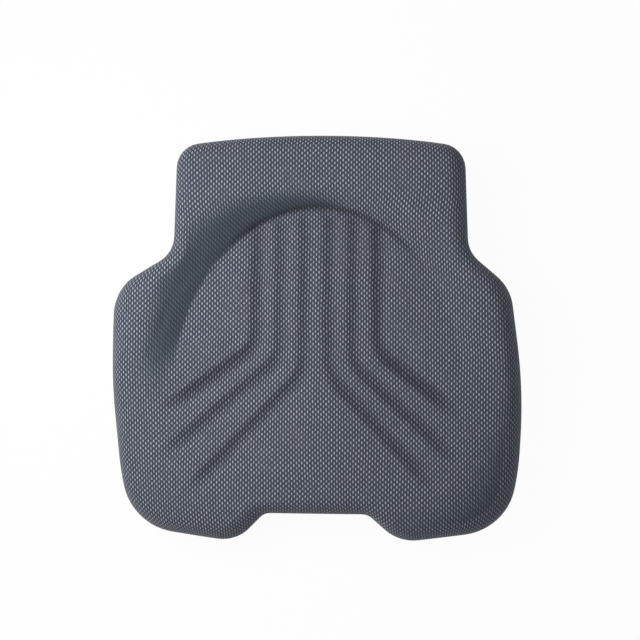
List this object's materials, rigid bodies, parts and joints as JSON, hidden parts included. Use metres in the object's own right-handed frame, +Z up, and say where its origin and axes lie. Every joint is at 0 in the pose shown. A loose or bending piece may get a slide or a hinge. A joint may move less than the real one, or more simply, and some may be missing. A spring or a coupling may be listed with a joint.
{
  "type": "vehicle seat cushion",
  "caption": "Contoured seat cushion with a narrow neck, side bolsters, a hip basin and moulded channels in one woven cover, on a pressed steel pan with bolt-down rails.",
  "frame": {"origin": "middle of the footprint, on the plane of the rails' mounting faces", "axes": "+Z up through the cushion, +Y to the narrow rear edge, +X to the sitter's right side when they face the front lobes' side, -Y"},
  "size_m": [0.471, 0.4684, 0.1015],
  "materials": {
    "textile": "charcoal-blue woven seat textile with small pale dashes, matt",
    "foam": "moulded polyurethane foam with a closed skin",
    "felt": "grey needle felt",
    "pan_paint": "black dip-coated pressed steel, satin",
    "rail_paint": "black dip-coated folded steel, satin",
    "zinc": "bright zinc-plated steel",
    "plug_plastic": "black moulded nylon",
    "buffer_rubber": "black moulded rubber",
    "clip_plastic": "black extruded polypropylene"
  },
  "bodies": {
    "root": {"cover_fabric": "textile", "foam_core": "foam", "foam_backing_felt": "felt", "seat_pan": "pan_paint", "mount_rail_left": "rail_paint", "mount_rail_right": "rail_paint", "front_stiffener": "rail_paint", "rear_stiffener": "rail_paint", "weld_nuts": "zinc", "rail_rivets": "zinc", "switch_hole_plug": "plug_plastic", "rubber_buffers": "buffer_rubber", "cover_clip_rear": "clip_plastic", "cover_clip_neck_right": "clip_plastic", "cover_clip_neck_left": "clip_plastic", "cover_clip_right": "clip_plastic", "cover_clip_left": "clip_plastic", "cover_clip_front_right": "clip_plastic", "cover_clip_front_left": "clip_plastic", "cover_clip_notch": "clip_plastic"}
  },
  "joints": []
}
